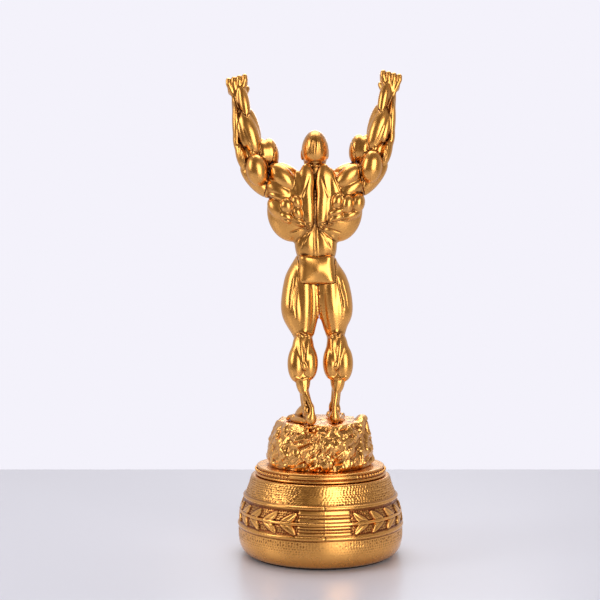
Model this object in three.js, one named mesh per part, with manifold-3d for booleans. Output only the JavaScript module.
// Bodybuilder figure trophy: a cast resin athlete with both fists raised, standing on a rock,
// on a round stepped plinth with a laurel band. Millimetres, +Z up, and the athlete faces +Y.
// The figure is cast in six pieces that meet at a crease or a hem, each held by a steel pin.
// Rods run down both legs into the rock, and one bolt ties the rock to the hollow plinth.
import * as THREE from "three";
import { mergeVertices } from "three/addons/utils/BufferGeometryUtils.js";
import Module from "manifold-3d";

const wasm = await Module();
wasm.setup();

// ---- driving dimensions -------------------------------------------------------------------
const gap = 0.3; // clearance between any two pieces that touch

const stature = 252.5; // sole to crown
const figureSetBack = -12; // the athlete stands behind the plinth's centre by this much
const shoulderPinRadius = 2;
const shoulderPinLength = 24;
const neckPinRadius = 1.5;
const neckPinLength = 18;
const legRodRadius = 1.25;

const rockHeight = 38.4;
const rockBottomRadius = 46;
const rockTopRadius = 37;
const rockShift = 0;

const plinthRadius = 72.5; // at the lower ridge of the laurel band
const footTuck = 9.5; // how far the plinth rolls in under itself
const capRadius = 59.6; // at the cap's lowest ring
const drumStep = 0.9; // the drum stands out from under the cap by this much
const capThickness = 8.2;
const plinthTop = 69.5; // deck of the plinth body, under the cap
const bandBottom = 30; // top edge of the lower ridge
const bandTop = 50; // bottom edge of the upper ridge
const ridgeHeight = 3.6;
const shellWall = 6;
const deckThickness = 6.5;
const feltThickness = 1.6;
const feltMargin = 2.5; // bare rim round the felt
const basePlateThickness = 4;
const basePlateRim = 3.7; // wall of the plinth outside the base plate
const ledgeWidth = 8;
const ledgeHeight = 7;

const tieBoltRadius = 3;
const tieBoltReach = 18; // how far the bolt goes into the rock
const tieHeadRadius = 5.6;
const tieHeadHeight = 4;
const tieWasherRadius = 9;
const washerThickness = 1.5;
const insertWall = 1.5;
const rodNutRadius = 3.6;
const rodNutHeight = 3.2;
const rodWasherRadius = 4.5;
const rodPocketRadius = 6.5;
const rodPocketDepth = 11;
const screwRadius = 1.4;
const screwHeadRadius = 3;
const screwHeadHeight = 1.6;
const screwLength = 9;
const screwCount = 4;
const ballastHeight = 26;
const ballastBore = 11;

const ROUND = 40; // sides of the plinth's turned pieces
const SMALL_ROUND = 12; // sides of pins, nuts and washers

// ---- places worked out from them ----------------------------------------------------------
const drawnStature = 254.5; // the athlete's marks below are drawn at this stature
const figureScale = stature / drawnStature;
const shellBottom = feltThickness + gap;
const capBottom = plinthTop + gap;
const capTop = capBottom + capThickness;
const rockBottom = capTop + gap;
const rockTop = rockBottom + rockHeight;
const soles = rockTop + gap;
const deckUnder = plinthTop - deckThickness;
const footRadius = plinthRadius - footTuck;
const drumTopRadius = capRadius + drumStep;
const basePlateTop = shellBottom + basePlateThickness;
const basePlateRadius = footRadius - basePlateRim - gap;
const ledgeTop = basePlateTop + gap + ledgeHeight;
const ledgeRadius = basePlateRadius + gap - ledgeWidth;
const ballastRadius = ledgeRadius - 1;

const goldPaint = { color: 0xc98a3a, roughness: 0.3, metalness: 1 };
const steel = { color: 0xb8bcc0, roughness: 0.35, metalness: 1 };
const brass = { color: 0xc9a24a, roughness: 0.35, metalness: 1 };

// ---- solids -------------------------------------------------------------------------------
// A closed three.js geometry as a solid.
function solid(geometry) {
  const bare = geometry.clone();
  bare.deleteAttribute("normal");
  bare.deleteAttribute("uv");
  const merged = mergeVertices(bare, 1e-4);
  return new wasm.Manifold(
    new wasm.Mesh({
      numProp: 3,
      vertProperties: new Float32Array(merged.attributes.position.array),
      triVerts: new Uint32Array(merged.index.array),
    }),
  );
}

function union(solids) {
  return solids.reduce((whole, next) => whole.add(next));
}

// A solid back as a three.js mesh with its name and finish.
function piece(name, made, finish) {
  const tidy = made.simplify(0.02).getMesh();
  const geometry = new THREE.BufferGeometry();
  geometry.setAttribute("position", new THREE.BufferAttribute(tidy.vertProperties, 3));
  geometry.setIndex(new THREE.BufferAttribute(tidy.triVerts, 1));
  const flat = geometry.toNonIndexed();
  flat.computeVertexNormals();
  const mesh = new THREE.Mesh(flat, new THREE.MeshStandardMaterial(finish));
  mesh.name = name;
  return mesh;
}

// A turned solid from its outline of [radius, height] points. A closed outline leaves a bore.
function turned(outline, sides = ROUND) {
  const points = outline.map(([r, z]) => new THREE.Vector2(r, z));
  if (outline[0][0] > 0) points.push(points[0].clone());
  return solid(new THREE.LatheGeometry(points, sides).rotateX(Math.PI / 2));
}

// A round bar between two points.
function bar(from, to, radius, sides = SMALL_ROUND) {
  const along = to.clone().sub(from);
  const geometry = new THREE.CylinderGeometry(radius, radius, along.length(), sides);
  const turn = new THREE.Quaternion().setFromUnitVectors(
    new THREE.Vector3(0, 1, 0),
    along.clone().normalize(),
  );
  geometry.applyQuaternion(turn);
  const middle = from.clone().add(to).multiplyScalar(0.5);
  return solid(geometry.translate(middle.x, middle.y, middle.z));
}

function upright(x, y, bottom, top, radius, sides = SMALL_ROUND) {
  return bar(new THREE.Vector3(x, y, bottom), new THREE.Vector3(x, y, top), radius, sides);
}

// ---- the athlete --------------------------------------------------------------------------
// Marks are [out, front, up]: out from the figure's middle line to one side, front from the
// body's plane, and up from the soles. The middle line leans a little to the athlete's left.
const LEAN_FROM = 72;
const LEAN_TO = 165;
const LEAN_LOW = -0.5;
const LEAN_HIGH = -5;

const RIGHT_RAISE = 3.5; // the right shoulder is carried higher than the left one
const RIGHT_DRAW = 2; // and nearer to the neck

function middleLine(up) {
  const share = THREE.MathUtils.clamp((up - LEAN_FROM) / (LEAN_TO - LEAN_FROM), 0, 1);
  return THREE.MathUtils.lerp(LEAN_LOW, LEAN_HIGH, share);
}

function mark([out, front, up], side = 1) {
  const carried = THREE.MathUtils.clamp((up - 188) / 22, 0, 1) * THREE.MathUtils.clamp((out - 8) / 12, 0, 1);
  const share = side > 0 ? carried : 0;
  return new THREE.Vector3(
    (middleLine(up) + side * (out - RIGHT_DRAW * share)) * figureScale,
    figureSetBack + front * figureScale,
    soles + (up + RIGHT_RAISE * share) * figureScale,
  );
}

// A muscle is an ellipsoid between two marks, so wide across the view and so deep.
function muscle([from, to, wide, deep], side, grow = 0, fine = 8) {
  const a = mark(from, side);
  const b = mark(to, side);
  const along = b.clone().sub(a);
  const half = along.length() / 2 + grow;
  along.normalize();
  const across = new THREE.Vector3().crossVectors(along, new THREE.Vector3(0, 1, 0));
  if (across.lengthSq() < 0.1) across.set(1, 0, 0);
  across.normalize();
  const through = new THREE.Vector3().crossVectors(along, across);
  const geometry = new THREE.SphereGeometry(1, fine, Math.round(fine * 0.75));
  geometry.rotateX(Math.PI / 2);
  geometry.scale(wide * figureScale + grow, deep * figureScale + grow, half);
  const place = new THREE.Matrix4().makeBasis(across, through, along);
  place.setPosition(a.add(b).multiplyScalar(0.5));
  return solid(geometry.applyMatrix4(place));
}

function muscles(list, side, grow, fine) {
  return union(list.map((one) => muscle(one, side, grow, fine)));
}

const torsoMiddle = [
  [[0, 1, 152], [0, 1, 214], 24, 17], // rib cage
  [[0, 1, 128], [0, 1, 172], 17.5, 12.5], // waist
  [[0, 0, 203], [0, 0, 228], 9.4, 9.6], // neck root
];
const torsoSide = [
  [[18, -2, 157], [21, -2, 206], 23, 15], // lat
  [[33, -6, 172], [33, -6, 192], 10.5, 10], // teres major
  [[19, -11, 170], [21, -11, 190], 8, 6], // infraspinatus, lower
  [[7, -9, 219], [5, -11, 170], 7.5, 6.5], // trapezius
  [[19, -9, 210], [16, -11, 184], 6.5, 6.5], // infraspinatus, upper
  [[6, -8, 168], [9, -7, 138], 8, 7], // lumbar column
  [[12.5, 0, 164], [12, 1, 136], 5.5, 9], // flank
  [[22, 11, 200], [2, 13, 190], 11, 7.5], // chest
  [[4.5, 13, 178], [4.5, 13, 168], 4.6, 4], // stomach, upper row
  [[4.5, 12.5, 168], [4.5, 12.5, 158], 4.6, 4], // stomach, middle row
  [[4.5, 12, 158], [4.5, 11.5, 140], 4.6, 4], // stomach, lower row
  [[18, -8, 205], [41, -8, 222], 8.8, 9.5], // shoulder, rear head
  [[21, -4, 192], [50, -4, 210], 9, 10], // shoulder, side head
  [[15, 4, 211], [40, 3, 224], 9, 9], // shoulder, front head
];
const trunksSide = [
  [[7, -6, 120], [7, -6, 144], 8.5, 9.6], // seat
];
const armSide = [
  [[34, -3, 204], [64, -4, 244], 8.5, 8], // bone and brachialis
  [[47, -8, 203], [60, -9, 233], 9.6, 9], // triceps, outer head
  [[32, -4, 193], [60, -4, 219], 9.5, 9.5], // triceps, long head
  [[34, 4, 223], [51, 4, 245], 9.3, 9.3], // biceps
  [[69.5, -6, 249], [63, -7, 215], 4.6, 5], // elbow
  [[51, -2, 236], [62, -1, 275], 7.6, 8], // forearm, inner belly
  [[66, -2, 232], [69, -1, 278], 6, 6.5], // forearm, outer belly
  [[56, 5, 238], [65, 3, 277], 7.5, 6], // forearm, front
];
const wristAndFist = [
  [[66, 0, 262], [68, 0, 292], 6, 5], // wrist
  [[62.5, 1, 284], [62.5, 1, 302], 4.6, 7.5], // fist, thumb side
  [[73.5, 1, 284], [74, 1, 300.5], 4.4, 7.5], // fist, outer side
  [[68, 0, 283], [68, 0, 302], 6, 8.5], // fist, middle
];
const legSide = [
  [[11, 1, 137], [14, 1, 67], 11.5, 12.5], // thigh core
  [[12, 2, 146], [15.5, 2, 104], 10.5, 11], // hip
  [[15, 2, 133], [18, 2, 77], 15.6, 12.5], // outer thigh
  [[6.5, 1, 134], [8, 1, 82], 7, 10], // inner thigh
  [[11, -7, 128], [13.5, -7, 70], 7, 7.5], // hamstring
  [[14, 10, 134], [14, 9, 78], 9, 8], // front thigh
  [[8, 8, 98], [8.5, 8, 74], 6, 7], // inner teardrop
  [[14, 5, 84], [14, 5, 58], 8, 8.5], // knee
  [[20.3, -5, 73], [20.3, -6, 36], 8.4, 8.5], // calf, outer head
  [[10.2, -5, 72], [10, -6, 36], 8.4, 8.5], // calf, inner head
  [[15, -3, 66], [15, -4, 26], 8.5, 7.5], // calf, under layer
  [[15, 3, 70], [13.3, 0, 8], 5, 5.5], // shin
  [[14.2, -6, 50], [12.6, -6, 2], 3.6, 4], // tendon
];
// The foot's marks are from the ankle: right, forward and up from the sole.
const footParts = [
  [[0, -7, 1], [0, -6, 17], 4.4, 5.5], // heel
  [[0, -4, 20], [0, 22, 3], 5.4, 5], // instep
  [[0, 12, 3], [0.5, 33, 2.5], 8.4, 4.2], // ball and toes
];
const ankleOut = 12.8;
const anklePlace = { "-1": -17, 1: -8 }; // how far each ankle stands back
const toeOut = { "-1": 28, 1: -2 }; // degrees that each foot turns out

const trunksTop = 144.5;
const trunksHem = 119;
const trunksWide = 16.6;
const trunksDeep = 13.6;
const trunksCorner = 8; // the trunks are square across the seat, with corners of this radius
const TRUNKS_SIDES = 16;

function trunks(grow) {
  const low = mark([0, -1, trunksHem]).z - grow;
  const high = mark([0, -1, trunksTop]).z + grow;
  const deep = (trunksDeep * figureScale + grow) / (trunksCorner * figureScale + grow);
  const corners = [-1, 0, 1].map((share) => {
    const made = new THREE.CylinderGeometry(
      trunksCorner * figureScale + grow, trunksCorner * figureScale + grow, high - low, TRUNKS_SIDES);
    made.rotateX(Math.PI / 2).scale(1, deep, 1);
    const middle = mark([share * (trunksWide - trunksCorner), -1, (trunksHem + trunksTop) / 2]);
    return solid(made.translate(middle.x, middle.y, (low + high) / 2));
  });
  return union(corners);
}

const SIDES = [-1, 1];
const sideName = { "-1": "left", 1: "right" };

// The torso with its shoulders, neck root and trunks, grown by a clearance where it is a cutter.
function torsoBody(grow) {
  const parts = [muscles(torsoMiddle, 1, grow), trunks(grow)];
  for (const side of SIDES) parts.push(muscles([...torsoSide, ...trunksSide], side, grow));
  return union(parts);
}

// Everything beyond a plane, as a big block whose near face is the plane.
const BEYOND = 400;
function beyond(point, normal, offset = 0) {
  const block = new THREE.BoxGeometry(BEYOND, BEYOND, BEYOND).translate(0, 0, BEYOND / 2 + offset);
  const turn = new THREE.Quaternion().setFromUnitVectors(new THREE.Vector3(0, 0, 1), normal);
  block.applyQuaternion(turn).translate(point.x, point.y, point.z);
  return solid(block);
}

// The arm meets the shoulder at the crease under the deltoid.
const armJointMark = [40.6, -3, 209];
const armJointTilt = THREE.MathUtils.degToRad(13);
const upperArmTilt = THREE.MathUtils.degToRad(42);

function armNormal(side, tilt = armJointTilt) {
  return new THREE.Vector3(side * Math.cos(tilt), 0, Math.sin(tilt));
}

function shoulderPin(side, grow = 0) {
  const middle = mark(armJointMark, side);
  const reach = armNormal(side, upperArmTilt).multiplyScalar(shoulderPinLength / 2 + grow);
  return bar(middle.clone().sub(reach), middle.clone().add(reach), shoulderPinRadius + grow);
}

const neckJointUp = 219.5;
function neckPin(grow = 0) {
  const middle = mark([0, 0, neckJointUp]);
  const half = neckPinLength / 2 + grow;
  return upright(middle.x, middle.y, middle.z - half, middle.z + half, neckPinRadius + grow);
}

// The rods stand upright through the ankles, from the thighs down into pockets in the rock.
const rodTopUp = 60;
function rodPlace(side) {
  const ankle = mark([ankleOut, anklePlace[side], 0], side);
  return [ankle.x, ankle.y];
}
const pocketTop = rockBottom + rodPocketDepth;
const rodBottom = pocketTop - gap - washerThickness - gap - rodNutHeight - 1.5;
function legRod(side, grow = 0) {
  return upright(...rodPlace(side), rodBottom - grow, mark([0, 0, rodTopUp]).z + grow, legRodRadius + grow);
}

// The neck's root ends flat at the joint, inside this sleeve, and the shoulders stay whole.
function aboveNeck(offset) {
  const joint = mark([0, 0, neckJointUp]);
  return upright(joint.x, joint.y, joint.z + offset, joint.z + BEYOND / 8, 11 * figureScale);
}

function torso() {
  let made = torsoBody(0);
  for (const side of SIDES) {
    made = made.subtract(beyond(mark(armJointMark, side), armNormal(side), 0));
    made = made.subtract(shoulderPin(side, gap));
  }
  return made.subtract(aboveNeck(0)).subtract(neckPin(gap));
}

function arm(side) {
  const flesh = muscles(armSide, side).add(muscles(wristAndFist, side, 0, 8));
  const inward = armNormal(side).negate();
  return flesh
    .subtract(beyond(mark(armJointMark, side), inward, -gap))
    .subtract(shoulderPin(side, gap));
}

// The head leans back a little on its neck.
const headParts = [
  [[0, 0, 218], [0, 0.5, 236], 9.2, 9.5], // neck
  [[0, -1, 219], [0, 0, 249.5], 11.2, 13.5], // skull
  [[0, -1, 226], [0, -2, 254.5], 9.6, 11], // crown
  [[0, 7, 218.5], [0, 9, 240], 7.8, 8.5], // jaw
  [[0, 14, 224], [0, 16, 236], 2, 3], // nose
];
const earParts = [[[11, -1, 226.5], [11.6, -1.5, 234.5], 1.4, 2.6]];

function head() {
  const parts = [muscles(headParts, 1, 0, 12)];
  for (const side of SIDES) parts.push(muscles(earParts, side, 0, 8));
  const down = new THREE.Vector3(0, 0, -1);
  return union(parts)
    .subtract(beyond(mark([0, 0, neckJointUp]), down, -gap))
    .subtract(torsoBody(gap).subtract(aboveNeck(gap)))
    .subtract(neckPin(gap));
}

function foot(side) {
  const made = union(
    footParts.map((part) => muscle(part, 1)),
  );
  const origin = mark([0, 0, 0]);
  const turned = new THREE.Matrix4()
    .makeTranslation(...rodPlace(side), 0)
    .multiply(new THREE.Matrix4().makeRotationZ(THREE.MathUtils.degToRad(-side * toeOut[side])))
    .multiply(new THREE.Matrix4().makeTranslation(-origin.x, -origin.y, 0));
  return made.transform(turned.elements.slice());
}

function leg(side) {
  // Below the hem the leg leans back to its own ankle.
  const lean = (up) => anklePlace[side] * Math.max(0, 1 - up / trunksHem);
  const place = ([out, front, up]) => [out, front + lean(up), up];
  const list = legSide.map(([from, to, wide, deep]) => [place(from), place(to), wide, deep]);
  const across = new THREE.Vector3(-side, 0, (side * (LEAN_HIGH - LEAN_LOW)) / (LEAN_TO - LEAN_FROM));
  const down = new THREE.Vector3(0, 0, -1);
  return muscles(list, side)
    .add(foot(side))
    .subtract(beyond(mark([gap / 2, 0, 100], side), across.normalize()))
    .subtract(beyond(mark([0, 0, 0]), down))
    .subtract(torsoBody(gap))
    .subtract(legRod(side, gap));
}

// ---- the rock -----------------------------------------------------------------------------
const ROCK_SIDES = 26;
const ROCK_TIERS = 4;
const knobSetBack = -6; // a knob stands up at the rim, on the athlete's right

// Lumps round a cone, so that no two sides of the rock are alike.
function rockLump(angle, share) {
  return (
    1 +
    0.035 * Math.sin(3 * angle + 4 * share) +
    0.03 * Math.sin(5 * angle - 3 * share + 1) +
    0.025 * Math.sin(9 * angle + 7 * share)
  );
}

function rock() {
  const cone = new THREE.CylinderGeometry(
    rockTopRadius, rockBottomRadius, rockHeight, ROCK_SIDES, ROCK_TIERS);
  cone.rotateX(Math.PI / 2).translate(0, 0, rockHeight / 2);
  const points = cone.attributes.position;
  for (let i = 0; i < points.count; i++) {
    const x = points.getX(i);
    const y = points.getY(i);
    const share = points.getZ(i) / rockHeight;
    const lump = rockLump(Math.atan2(y, x), share);
    points.setXY(i, x * lump, y * lump);
  }
  const knob = new THREE.SphereGeometry(1, 8, 6).scale(5.5, 8, 9);
  knob.translate(rockShift + rockTopRadius, knobSetBack, rockTop - 3.5);
  let made = solid(cone.translate(rockShift, 0, rockBottom)).add(solid(knob));
  made = made.subtract(
    upright(0, 0, rockBottom - 1, rockBottom + tieBoltReach + 3, tieBoltRadius + gap + insertWall + gap));
  for (const side of SIDES) {
    made = made
      .subtract(upright(...rodPlace(side), rockBottom - 1, pocketTop, rodPocketRadius))
      .subtract(legRod(side, gap));
  }
  return made;
}

// ---- the plinth ---------------------------------------------------------------------------
const boltHole = tieBoltRadius + gap;
const bandFall = 4.6; // the band leans in by this much from the lower ridge to the upper one
const ridgeProud = 0.9;
const drumFlare = 1.7; // the drum's side is hollow, and half way down it is only this much wider

function plinthBody() {
  const bandLow = plinthRadius - ridgeProud;
  const bandHigh = bandLow - bandFall;
  const outer = [
    [footRadius, shellBottom],
    [footRadius + 4.5, shellBottom + 2.6],
    [bandLow - 1, 11.5],
    [bandLow, bandBottom - ridgeHeight],
    [plinthRadius, bandBottom - ridgeHeight + 0.8],
    [plinthRadius, bandBottom - 0.8],
    [bandLow - 0.4, bandBottom],
    [bandHigh, bandTop],
    [bandHigh + ridgeProud, bandTop + 0.7],
    [bandHigh + ridgeProud - 0.5, bandTop + ridgeHeight - 0.7],
    [bandHigh - 1.2, bandTop + ridgeHeight],
    [drumTopRadius + drumFlare, (bandTop + ridgeHeight + plinthTop) / 2],
    [drumTopRadius, plinthTop],
    [boltHole, plinthTop],
  ];
  const inner = [
    [boltHole, deckUnder],
    [drumTopRadius - shellWall, deckUnder],
    [bandLow - shellWall - 1, bandBottom],
    [bandLow - shellWall - 1, ledgeTop + 4],
    [ledgeRadius, ledgeTop],
    [ledgeRadius, basePlateTop + gap],
    [basePlateRadius + gap, basePlateTop + gap],
    [basePlateRadius + gap, shellBottom],
  ];
  let made = turned([...outer, ...inner]);
  for (let i = 0; i < screwCount; i++) made = made.subtract(baseScrew(i, gap));
  return made;
}

function plinthCap() {
  return turned([
    [capRadius - 0.5, capBottom],
    [capRadius, capBottom + 1],
    [capRadius - 1.6, capBottom + 2.3],
    [capRadius - 2, capBottom + 5],
    [capRadius - 3.5, capBottom + 6.2],
    [capRadius - 4.1, capTop],
    [boltHole, capTop],
    [boltHole, capBottom],
  ]);
}

const boltHeadTop = deckUnder - gap - washerThickness - gap;
function tieBolt() {
  const head = upright(0, 0, boltHeadTop - tieHeadHeight, boltHeadTop, tieHeadRadius, 6);
  return head.add(upright(0, 0, boltHeadTop - 1, rockBottom + tieBoltReach, tieBoltRadius));
}

// A flat ring, such as a washer, a nut or the threaded insert.
function ring(x, y, bottom, height, outer, bore, sides = SMALL_ROUND) {
  return upright(x, y, bottom, bottom + height, outer, sides).subtract(
    upright(x, y, bottom - 1, bottom + height + 1, bore));
}

function screwPlace(i) {
  const angle = ((i + 0.5) / screwCount) * 2 * Math.PI;
  const radius = basePlateRadius - ledgeWidth / 2 + gap;
  return [radius * Math.cos(angle), radius * Math.sin(angle)];
}

function baseScrew(i, grow = 0) {
  const [x, y] = screwPlace(i);
  const under = shellBottom + gap;
  const head = upright(x, y, under - grow * 2, under + screwHeadHeight + grow, screwHeadRadius + grow);
  return head.add(upright(x, y, under, under + screwLength + grow, screwRadius + grow));
}

function basePlate() {
  let made = upright(0, 0, shellBottom, basePlateTop, basePlateRadius, ROUND);
  for (let i = 0; i < screwCount; i++) made = made.subtract(baseScrew(i, gap));
  return made;
}

function feltPad() {
  return upright(0, 0, 0, feltThickness, footRadius - feltMargin, ROUND);
}

function ballast() {
  return ring(0, 0, basePlateTop + gap, ballastHeight, ballastRadius, ballastBore, ROUND);
}

// ---- the trophy ---------------------------------------------------------------------------
const trophy = new THREE.Group();

const figure = new THREE.Group();
figure.add(piece("torso", torso(), goldPaint));
figure.add(piece("head", head(), goldPaint));
figure.add(piece("neck_pin", neckPin(), steel));
for (const side of SIDES) {
  const hand = sideName[side];
  figure.add(piece(hand + "_arm", arm(side), goldPaint));
  figure.add(piece(hand + "_leg", leg(side), goldPaint));
  figure.add(piece(hand + "_shoulder_pin", shoulderPin(side), steel));
  figure.add(piece(hand + "_leg_rod", legRod(side), steel));
  const [x, y] = rodPlace(side);
  const washerBottom = pocketTop - gap - washerThickness;
  const nutBottom = washerBottom - gap - rodNutHeight;
  const bore = legRodRadius + gap;
  figure.add(piece(hand + "_rod_washer", ring(x, y, washerBottom, washerThickness, rodWasherRadius, bore), steel));
  figure.add(piece(hand + "_rod_nut", ring(x, y, nutBottom, rodNutHeight, rodNutRadius, bore, 6), steel));
}
trophy.add(figure);

const base = new THREE.Group();
base.add(piece("rock_mound", rock(), goldPaint));
base.add(piece("plinth_cap", plinthCap(), goldPaint));
base.add(piece("plinth_body", plinthBody(), goldPaint));
base.add(piece("tie_bolt", tieBolt(), steel));
base.add(piece("tie_washer",
  ring(0, 0, deckUnder - gap - washerThickness, washerThickness, tieWasherRadius, boltHole), steel));
base.add(piece("rock_insert",
  ring(0, 0, rockBottom + gap, tieBoltReach + 1, boltHole + insertWall, boltHole), brass));
base.add(piece("ballast_ring", ballast(), { color: 0x9a9a94, roughness: 0.9, metalness: 0 }));
base.add(piece("base_plate", basePlate(), { color: 0x6b4a2c, roughness: 0.8, metalness: 0 }));
for (let i = 0; i < screwCount; i++) base.add(piece("base_screw_" + (i + 1), baseScrew(i), steel));
base.add(piece("felt_pad", feltPad(), { color: 0x15130f, roughness: 1, metalness: 0 }));
trophy.add(base);

export default trophy;
